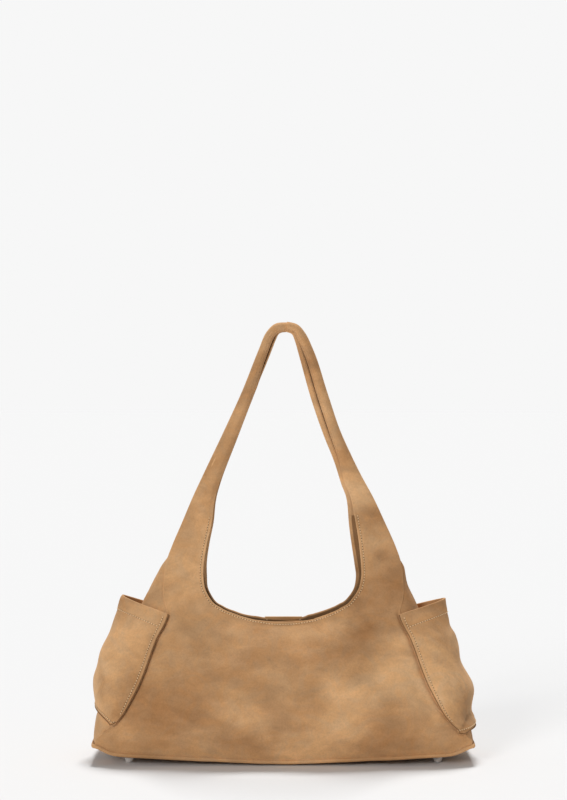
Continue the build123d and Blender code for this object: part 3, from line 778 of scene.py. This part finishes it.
class HOBO_OT_panels(HoboOperator, bpy.types.Operator):
    """Front and back suede, each one piece with its arms and its half of the strap"""

    bl_idname = "hobo.panels"
    bl_label = "Panels and strap"

    def execute(self, context):
        sizes = self.sizes()
        stand_for = {-1: ("front_panel", "strap_left"), 1: ("back_panel", "strap_right")}
        for side, name in ((-1, "front"), (1, "back")):
            grid = panel_grid(side)
            normals = grid_normals(grid)
            towards = 1 if np.mean(normals[..., 1] * side) > 0 else -1
            piece = shell(f"{name}_suede", grid, sizes.suede, finish("suede"), towards)
            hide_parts(*stand_for[side])
            across_fold(piece)
            row = grid.shape[1] - 1 - STITCH_ROW
            sewn = np.flatnonzero(grid[:, row, 2] < FOLD_Z - FOLD_BAND / 2 - 1)
            line = slice(sewn[0], sewn[-1] + 1)
            thread = stitches(f"{name}_rim_stitches", grid[line, row], towards * normals[line, row], sizes)
            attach(thread, "bag")
            self.facing(side, name, grid, normals * towards, sizes)
        return {"FINISHED"}

    @staticmethod
    def facing(side, name, grid, normals, sizes):
        """The suede turned in along the mouth and up the arms, coloured dark as painted shade."""
        inside = [i for i in range(len(grid)) if grid[i, -1, 2] < FOLD_Z - FOLD_BAND / 2 - 1]
        top = FOLD_Z - FOLD_BAND / 2
        rows = []
        for i in range(inside[0], inside[-1] + 1):
            line, up = grid[i, ::-1], normals[i, ::-1]
            gaps = np.linalg.norm(np.diff(line, axis=0), axis=1)
            place = np.concatenate([[0], np.cumsum(gaps)])
            taper = 0.4 + 0.6 * smoothstep(top, top - 40, line[0, 2])
            reach = min(sizes.facing_width, place[-1] * 0.8) * taper
            # On the back the dark facing starts further in, so lit suede shows at the rim before the painted
            # shade.
            inset = 2.6 * smoothstep(150, 185, line[0, 2]) * (side > 0)
            where = np.concatenate([inset + np.array([0.6, 1.2, 2.2]), np.linspace(inset + 4, reach, 9)])
            points = np.stack([np.interp(where, place, line[:, k]) for k in range(3)], 1)
            lift = np.stack([np.interp(where, place, up[:, k]) for k in range(3)], 1)
            rows.append(points - lift * (sizes.suede + 0.15))
        strip = np.array(rows)
        own = grid_normals(strip)
        towards = 1 if np.mean(own[..., 1] * side) > 0 else -1
        piece = shell(f"{name}_facing_suede", strip, sizes.facing, finish("suede_facing_painted_shade"), towards)
        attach(piece, "bag")
        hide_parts(f"{name}_facing")


class HOBO_OT_gussets(HoboOperator, bpy.types.Operator):
    """The two end walls between the front and back seams"""

    bl_idname = "hobo.gussets"
    bl_label = "Gussets"

    def execute(self, context):
        for side, name in ((-1, "left"), (1, "right")):
            u = np.linspace(-1, 1, 37)
            z = np.concatenate([[0, 0.7], np.linspace(2, 192, 56), [193.4, 194]])
            uu, share = np.meshgrid(u, z, indexing="ij")
            foot = underside(SEAM_X(0.0)) + PANEL_FOOT
            height = foot + share * (205 - foot) / 194
            seam, depth = SEAM_X(height) - 2.0, np.maximum(SEAM_DEPTH(height) - 1.0, 0.5)
            crease = 2.4 * np.exp(-(uu / 0.16) ** 2) * smoothstep(205, 150, height)
            tip = np.maximum(GUSSET_TIP[side](height) - crease, seam + 0.6)
            tip = tip - 3.5 * smoothstep(190, 202, height)
            x, y = end_ring(uu, tip, depth, seam)
            x = x + 0.7 * np.sin(height / 9.0 + 3 * uu + side) * np.cos(uu * math.pi / 2)
            grid = np.stack([side * x, y, height], 2)
            towards = 1 if np.mean(grid_normals(grid)[..., 0] * side) > 0 else -1
            piece = shell(f"{name}_gusset_suede", grid, self.sizes().suede, finish("suede"), towards)
            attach(piece, "bag")
            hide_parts(f"gusset_{name}")
        return {"FINISHED"}


class HOBO_OT_pockets(HoboOperator, bpy.types.Operator):
    """Side pockets with turned, topstitched hems that stand off from the gussets"""

    bl_idname = "hobo.pockets"
    bl_label = "Side pockets"

    def execute(self, context):
        sizes = self.sizes()
        for side, name in ((-1, "left"), (1, "right")):
            u = np.concatenate([[-1, -0.985, -0.965], np.linspace(-0.94, 0.94, 49), [0.965, 0.985, 1]])
            rim_low, rim_high = POCKET_RIM[side]
            foot_low, foot_high = POCKET_FOOT[side]
            crown = np.abs(np.cos(u * math.pi / 2)) ** 0.8
            rim = rim_low + (rim_high - rim_low) * crown
            foot = foot_low + (foot_high - foot_low) * crown + 6 * smoothstep(0.88, 1, np.abs(u)) ** 2
            down = np.concatenate([
                [0, 0.7, 1.7, 3.0, 5.5, 8.5, sizes.hem - 1.2, sizes.hem, sizes.hem + 1.2],
                np.linspace(sizes.hem + 4, 100, 38),
            ])
            last = down[-1]
            grid = np.zeros((len(u), len(down) + 3, 3))
            for k, d in enumerate(down):
                fixed = smoothstep(20, last, d)
                height = (rim - d) * (1 - fixed) + (rim - (rim - foot) * d / last) * fixed
                grid[:, k] = self.place(side, u, height, d, sizes)
            for k, (drop, tuck) in enumerate(((1.4, 1.6), (1.8, 3.4), (1.0, 5.0))):
                edge = grid[:, len(down) - 1].copy()
                edge[:, 0] -= side * tuck * np.cos(u * math.pi / 2) ** 0.5
                edge[:, 2] -= drop
                grid[:, len(down) + k] = edge
            normals = grid_normals(grid)
            towards = 1 if np.mean(normals[..., 0] * side) > 0 else -1
            for line in ((slice(2, -2), 7), (slice(2, -2), -5), (2, slice(3, -5)), (-3, slice(3, -5))):
                grid[line] -= towards * normals[line] * STITCH_GROOVE
            piece = shell(f"{name}_pocket_suede", grid, sizes.suede, finish("suede"), towards)
            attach(piece, "bag")
            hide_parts(f"pocket_{name}")
            # A dark tube along the pocket's cut edge: a darker edge that also paints the shade in the gap
            # beside it.
            cut = np.concatenate([grid[0, 1:-4], grid[:, -4], grid[-1, 1:-4][::-1]])
            edge = tube(f"{name}_pocket_edge_and_painted_shade", cut, EDGE_RADIUS, finish("suede_edge_and_painted_shade"), 8)
            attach(edge, "bag")
            rows = {
                "hem": (slice(2, -2), 7), "foot": (slice(2, -2), -5),
                "front_edge": (2, slice(3, -6)), "back_edge": (-3, slice(3, -6)),
            }
            for what, where in rows.items():
                thread = stitches(
                    f"{name}_pocket_{what}_stitches", grid[where], towards * normals[where], sizes,
                )
                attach(thread, "bag")
        return {"FINISHED"}

    @staticmethod
    def place(side, u, height, down, sizes):
        """Points of the pocket wall at one distance below the rim."""
        over = sizes.suede + 0.5
        seam = SEAM_X(height) - 1.4
        depth = SEAM_DEPTH(height) + over
        tip = POCKET_TIP[side](height)
        x, y = end_ring(u, tip, depth, seam)
        hang = smoothstep(0, 30, down)
        ripple = 1.5 * np.sin(height / 10.5 + 2.6 * u + side) + 0.9 * np.sin(height / 5.3 - 4 * u)
        hem_step = 0.8 * smoothstep(sizes.hem + 1.5, sizes.hem - 1.5, down)
        lift = (ripple * hang * 0.6 + hem_step) * np.cos(u * math.pi / 2)
        tuck = np.exp(-(((height - 31 - 25.5 * (u + 1)) / 2.2) ** 2)) * smoothstep(-0.35, -0.55, u)
        lobe = np.exp(-(((height - 36) / 5) ** 2) - ((u + 0.4) / 0.28) ** 2)
        lift += (side > 0) * (2.2 * lobe - 4.0 * tuck)
        return np.stack([side * (x + lift), y, height], 1)


# The base from its seam to its middle line: share of the width, and drop below the seam.
BASE_ROUND = (
    (1, 0), (1, 1.2), (0.985, 2.6), (0.95, 3.3), (0.85, 3.4), (0.65, 3.3), (0.4, 3.1), (0.15, 3.0),
)


class HOBO_OT_base(HoboOperator, bpy.types.Operator):
    """The sagging base, the welt round its seam and the stiffener inside"""

    bl_idname = "hobo.base"
    bl_label = "Base and welt"

    @staticmethod
    def outline(shrink, count=96):
        """The base seam seen from above, front run, right end, back run, left end."""
        half = SEAM_X(0.0)
        x = np.linspace(-half, half, count)
        z = underside(x) + PANEL_FOOT
        front = np.stack([x, -wall_depth(x, z, -1), z], 1)
        back = np.stack([x[::-1], wall_depth(x[::-1], z, 1), z], 1)
        u = np.linspace(-1, 1, 26)[1:-1]
        ends = {}
        for side in (-1, 1):
            level = np.full_like(u, underside(half) + PANEL_FOOT)
            ex, ey = end_ring(u, GUSSET_TIP[side](level), SEAM_DEPTH(level), SEAM_X(level))
            ends[side] = np.stack([side * ex, ey, level], 1)
        loop = np.concatenate([front, ends[1], back, ends[-1][::-1]])
        flat = loop * np.array([1, 1, 0])
        length = np.linalg.norm(flat, axis=1, keepdims=True)
        return loop - flat / length * shrink

    def execute(self, context):
        sizes = self.sizes()
        loop = self.outline(0.3)
        rings = []
        for share, drop in BASE_ROUND:
            ring = loop * np.array([1, share, 1]) if share < 0.9 else loop.copy()
            if share >= 0.9:
                ring = self.outline(0.3 + (1 - share) * 60)
            ring[:, 2] = underside(np.clip(ring[:, 0], -UNDERSIDE_REACH, UNDERSIDE_REACH)) + PANEL_FOOT - drop
            rings.append(ring)
        count = len(loop)
        verts = np.concatenate(rings + [r + np.array([0, 0, sizes.suede]) for r in rings[::-1]])
        faces = bands(2 * len(rings), count, closed=True)
        base = refine(add_mesh("base_suede", verts, faces, finish("suede")), 1)
        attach(base, "bag")
        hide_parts("base_panel")
        path = self.outline(0.5)
        path[:, 2] = underside(np.clip(path[:, 0], -UNDERSIDE_REACH, UNDERSIDE_REACH)) + sizes.welt
        welt = tube("base_welt_suede", path, sizes.welt, finish("suede"), 14, closed=True, levels=1)
        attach(welt, "bag")
        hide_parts("base_welt")
        self.board()
        return {"FINISHED"}

    @staticmethod
    def board():
        """The stiffener between the base and the lining, short of the soft corners."""
        low, high = (np.array(c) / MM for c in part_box("base_board"))
        half_length = CORNER_START + 10
        x = np.linspace(-half_length, half_length, 44)[:, None]
        half_width = (high[1] - 3) * (1 - (np.abs(x) / (half_length + 1)) ** 30) ** 0.5
        share = np.linspace(-1, 1, 14)[None]
        top = np.stack([x + 0 * share, half_width * share, np.full((44, 14), high[2])], 2)
        piece = shell("base_board_stiff", top, high[2] - low[2], finish("board"), 1, 0)
        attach(piece, "bag")
        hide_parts("base_board")


class HOBO_OT_lining(HoboOperator, bpy.types.Operator):
    """The cloth bag inside, flat where the zip is sewn to it"""

    bl_idname = "hobo.lining"
    bl_label = "Lining"

    def execute(self, context):
        sizes = self.sizes()
        turn = np.linspace(0, 2 * math.pi, 181)[:-1]
        floor = 15.6
        loops = []
        for share in (0.12, 0.35, 0.6, 0.8, 0.93):
            loops.append(self.loop(turn, np.full_like(turn, floor), share))
        for rise in np.concatenate([[0.5, 2, 5], np.linspace(9, 100, 22), [100.7]]):
            shoulder = 34 * smoothstep(70, 112, np.abs(150 * np.cos(turn)))
            height = floor + rise * (1 + shoulder / 100)
            loops.append(self.loop(turn, height, 1))
        outer = np.array(loops)
        centre = np.stack([outer[..., 0], outer[..., 1], np.zeros_like(outer[..., 2])], 2)
        unit = centre / np.maximum(np.linalg.norm(centre, axis=2, keepdims=True), 1)
        inner = outer - unit * sizes.lining
        inner[:6, :, 2] += sizes.lining
        rows, columns = outer.shape[:2]
        verts = np.concatenate([outer.reshape(-1, 3), inner.reshape(-1, 3)])
        count = rows * columns
        faces = bands(rows, columns) + [f[::-1] for f in bands(rows, columns, offset=count)]
        top = count - columns
        for k in range(columns):
            m = (k + 1) % columns
            faces.append((top + k, top + m, top + m + count, top + k + count))
        faces.append(tuple(range(columns))[::-1])
        faces.append(tuple(range(count, count + columns)))
        cloth = refine(add_mesh("lining_cloth", verts, faces, finish("lining")), 1)
        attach(cloth, "bag")
        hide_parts(*(f"lining_{n}" for n in ("front", "back", "left", "right", "base")))
        return {"FINISHED"}

    @staticmethod
    def loop(turn, height, share):
        """One ring of the lining, a rounded oblong inside the walls."""
        square = 0.42 + 0.3 * smoothstep(20, 120, height)
        c, s = np.cos(turn), np.sin(turn)
        length = GUSSET_TIP[1](height) - 7.5
        depth = np.where(s > 0, MID_DEPTH[1](height), MID_DEPTH[-1](height)) - 6.0
        depth = np.minimum(depth, SEAM_DEPTH(height) + 3)
        x = np.sign(c) * np.abs(c) ** square * length * share
        y = np.sign(s) * np.abs(s) ** square * depth * share
        slack = 0.6 * np.sin(height / 8 + 9 * c) * np.sin(5 * turn) * smoothstep(18, 40, height)
        y = y - np.sign(s) * np.abs(slack)
        low, high = (np.array(c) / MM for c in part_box("zip_tape"))
        slope = (low[1] + ZIP_TAPE - high[1]) / (high[2] - low[2])
        behind = high[1] + slope * (height - low[2]) + ZIP_BACKING
        sewn = smoothstep(high[0] + 16, high[0] + 4, np.abs(x)) * (s > 0)
        sewn *= smoothstep(low[2] - 16, low[2] - 3, height) * smoothstep(high[2] + 14, high[2] + 3, height)
        return np.stack([x, y + sewn * (behind - y), height], 1)


class HOBO_OT_closure(HoboOperator, bpy.types.Operator):
    """The suede tab inside the back rim and its stitching"""

    bl_idname = "hobo.closure"
    bl_label = "Closure tab"

    def execute(self, context):
        sizes = self.sizes()
        low, high = (np.array(c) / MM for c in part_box("closure_tab"))
        half, top, bottom = (high[0] - low[0]) / 2, high[2], low[2]
        y = (low[1] + high[1]) / 2
        edge = np.array([0, 0.05, 0.12, 0.22, 0.35, 0.5])
        u = np.concatenate([-1 + edge, np.linspace(-0.4, 0.4, 9), (1 - edge)[::-1]])
        v = np.concatenate([[0, 0.02, 0.06], np.linspace(0.12, 0.88, 15), [0.94, 0.98, 1]])
        uu, vv = np.meshgrid(u, v, indexing="ij")
        narrow = 1 - 0.30 * smoothstep(0.62, 1.0, vv) ** 1.6
        round_end = (top - bottom - 1) * vv - 6.5 * uu ** 4 * smoothstep(0.6, 1, vv)
        z = top + 1.0 - round_end
        sag = 0.7 * np.sin(vv * math.pi) - 0.5 * uu ** 2 * vv
        grid = np.stack([uu * half * narrow, y - 1.0 - sag, z], 2)
        normals = grid_normals(grid)
        towards = 1 if np.mean(normals[..., 1]) < 0 else -1
        # The tab's suede is a lighter copy that paints light onto the shaded tab.
        tab = shell("closure_tab_suede", grid, 2.0, finish("suede_tab_painted_light"), towards)
        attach(tab, "tab")
        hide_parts("closure_tab")
        inset = np.concatenate([grid[2, 1:-3], grid[3:-3, -3], grid[-3, 1:-3][::-1]])
        facing = np.tile(np.array([0.0, -1.0, 0.0]), (len(inset), 1))
        thread = stitches("closure_tab_stitches", inset, facing, sizes)
        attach(thread, "tab")
        return {"FINISHED"}


class HOBO_OT_snap(HoboOperator, bpy.types.Operator):
    """The snap's socket half, flat on the front facing"""

    bl_idname = "hobo.snap"
    bl_label = "Snap socket"

    def execute(self, context):
        sizes = self.sizes()
        low, high = (np.array(c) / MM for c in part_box("snap_female"))
        grid = panel_grid(-1)
        normals = grid_normals(grid)
        gap = np.linalg.norm(grid[..., [0, 2]] - (low + high)[[0, 2]] / 2, axis=2)
        at = np.unravel_index(np.argmin(gap), gap.shape)
        inward = Vector(normals[at] * (1 if normals[at][1] > 0 else -1))
        start = Vector(grid[at]) + inward * (sizes.suede + sizes.facing + 0.5)
        profile = [
            (0.4, 0.0), (6.2, 0.0), (6.7, 0.2), (6.9, 0.7), (6.8, 1.3), (6.3, 1.7), (5.2, 1.9),
            (4.2, 1.85), (3.3, 1.9), (2.9, 1.7), (2.7, 1.2), (2.5, 0.9), (0.4, 0.85),
        ]
        snap = lathe("snap_socket", profile, (0, 0, 0), finish("nickel"))
        turned = inward.to_track_quat("Z", "Y").to_matrix().to_4x4()
        snap.data.transform(Matrix.Translation(start * MM) @ turned)
        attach(snap, "bag")
        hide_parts("snap_female")
        return {"FINISHED"}


class HOBO_OT_feet(HoboOperator, bpy.types.Operator):
    """Four turned metal feet"""

    bl_idname = "hobo.feet"
    bl_label = "Feet"

    def execute(self, context):
        low, high = (np.array(c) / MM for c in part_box("base_feet"))
        profile = [
            (0.6, 0.05), (2.0, 0.1), (2.9, 0.4), (3.5, 1.0), (3.9, 2.0), (4.2, 3.2), (4.6, 4.6),
            (5.0, 5.6), (5.5, 6.3), (5.7, 6.9), (5.6, 7.5), (5.0, 8.0), (1.6, 8.1), (1.6, 13.6),
            (1.2, 13.95), (0.3, 14.0),
        ]
        radius = 5.5
        for i, x in enumerate((low[0] + radius, high[0] - radius)):
            for j, y in enumerate((low[1] + radius, high[1] - radius)):
                foot = lathe(f"foot_{2 * i + j + 1}", profile, (x, y, 0), finish("foot_nickel"))
                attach(foot, "bag")
                if i == 0 and j == 0:
                    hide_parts("base_feet")
        return {"FINISHED"}


class HOBO_OT_fittings(HoboOperator, bpy.types.Operator):
    """Finishes for the parts whose made shape is kept: washers, snap stud, webbing and zip"""

    bl_idname = "hobo.fittings"
    bl_label = "Kept fittings"

    def execute(self, context):
        kept = {
            "foot_washers": "nickel", "snap_male": "nickel",
            "strap_tape": "webbing", "zip_tape": "webbing",
            "zip_chain": "brass", "zip_slider": "brass", "zip_puller": "brass",
            "zip_pocket": "lining",
        }
        for node, name in kept.items():
            mesh = frame["nodes"][node].data
            mesh.materials.clear()
            mesh.materials.append(finish(name))
        return {"FINISHED"}


class HOBO_OT_stage(HoboOperator, bpy.types.Operator):
    """Pale floor, soft studio light and the camera"""

    bl_idname = "hobo.stage"
    bl_label = "Stage"

    def execute(self, context):
        stage = context.scene.hobo_stage
        self.floor(stage)
        self.lights(stage)
        self.camera(stage)
        return {"FINISHED"}

    @staticmethod
    def floor(stage):
        far = 60000.0                     # mm
        material, nodes, links, shader = new_material("floor")
        corners = [(-far, -far, 0), (far, -far, 0), (far, far, 0), (-far, far, 0)]
        add_mesh("floor", corners, [(0, 1, 2, 3)], material, smooth=False)
        shader.inputs["Base Color"].default_value = (*grey(stage.pale), 1)
        shader.inputs["Roughness"].default_value = 1.0
        shader.inputs["Specular IOR Level"].default_value = 0.0
        shader.inputs["Emission Color"].default_value = (1, 1, 1, 1)
        shader.inputs["Emission Strength"].default_value = stage.glow
        world = bpy.data.worlds.new("surround")
        world.use_nodes = True
        nodes, links = world.node_tree.nodes, world.node_tree.links
        sky = nodes["Background"]
        sky.inputs["Color"].default_value = (1.0, 1.0, 1.0, 1)
        sky.inputs["Strength"].default_value = stage.sky
        seen = nodes.new("ShaderNodeBackground")
        seen.inputs["Color"].default_value = (1.0, 1.0, 1.0, 1)
        seen.inputs["Strength"].default_value = stage.backdrop
        either = nodes.new("ShaderNodeMixShader")
        links.new(nodes.new("ShaderNodeLightPath").outputs["Is Camera Ray"], either.inputs["Fac"])
        links.new(sky.outputs["Background"], either.inputs[1])
        links.new(seen.outputs["Background"], either.inputs[2])
        links.new(either.outputs["Shader"], nodes["World Output"].inputs["Surface"])
        bpy.context.scene.world = world

    @staticmethod
    def sun(name, strength, spread, place):
        """A sun that shines from a place towards the bag's foot."""
        data = bpy.data.lights.new(name, "SUN")
        data.energy, data.angle = strength, math.radians(spread)
        lamp = bpy.data.objects.new(name, data)
        bpy.context.scene.collection.objects.link(lamp)
        lamp.location = place
        lamp.rotation_euler = (-Vector(place)).to_track_quat("-Z", "Y").to_euler()

    def lights(self, stage):
        self.sun("key", stage.key, stage.spread, (0.05, 0.56, 1.35))
        self.sun("front", stage.front, stage.spread, (-0.65, -1.25, 0.50))

    @staticmethod
    def camera(stage):
        data = bpy.data.cameras.new("camera")
        data.sensor_fit = "VERTICAL"
        data.sensor_height = 36.0
        data.lens = data.sensor_height * stage.distance / stage.view_height
        camera = bpy.data.objects.new("camera", data)
        bpy.context.scene.collection.objects.link(camera)
        camera.location = (0, -stage.distance, stage.eye)
        camera.rotation_euler = (math.pi / 2, 0, 0)
        bpy.context.scene.camera = camera
        bpy.context.scene.view_settings.view_transform = "Standard"


class HOBO_PT_panel(bpy.types.Panel):
    """Lists the steps that build the bag"""

    bl_idname = "HOBO_PT_panel"
    bl_label = "Hobo Bag"
    bl_space_type = "VIEW_3D"
    bl_region_type = "UI"
    bl_category = "Hobo Bag"

    def draw(self, context):
        for step in STEPS:
            self.layout.operator(step.bl_idname)
        for group in ("hobo_sizes", "hobo_colours", "hobo_stage"):
            box = self.layout.box()
            settings = getattr(context.scene, group)
            for name in settings.__annotations__:
                box.prop(settings, name)


STEPS = (
    HOBO_OT_panels, HOBO_OT_gussets, HOBO_OT_pockets, HOBO_OT_base, HOBO_OT_lining,
    HOBO_OT_closure, HOBO_OT_snap, HOBO_OT_feet, HOBO_OT_fittings, HOBO_OT_stage,
)
GROUPS = {"hobo_sizes": HOBO_PG_sizes, "hobo_colours": HOBO_PG_colours, "hobo_stage": HOBO_PG_stage}


def register():
    for cls in (*GROUPS.values(), *STEPS, HOBO_PT_panel):
        bpy.utils.register_class(cls)
    for name, cls in GROUPS.items():
        setattr(bpy.types.Scene, name, PointerProperty(type=cls))


def unregister():
    for name in GROUPS:
        delattr(bpy.types.Scene, name)
    for cls in (HOBO_PT_panel, *reversed(STEPS), *GROUPS.values()):
        bpy.utils.unregister_class(cls)


def main():
    register()
    for step in STEPS:
        group, call = step.bl_idname.split(".")
        if getattr(getattr(bpy.ops, group), call)() != {"FINISHED"}:
            raise RuntimeError(f"{step.bl_label} did not finish")


if __name__ == "__main__":
    main()
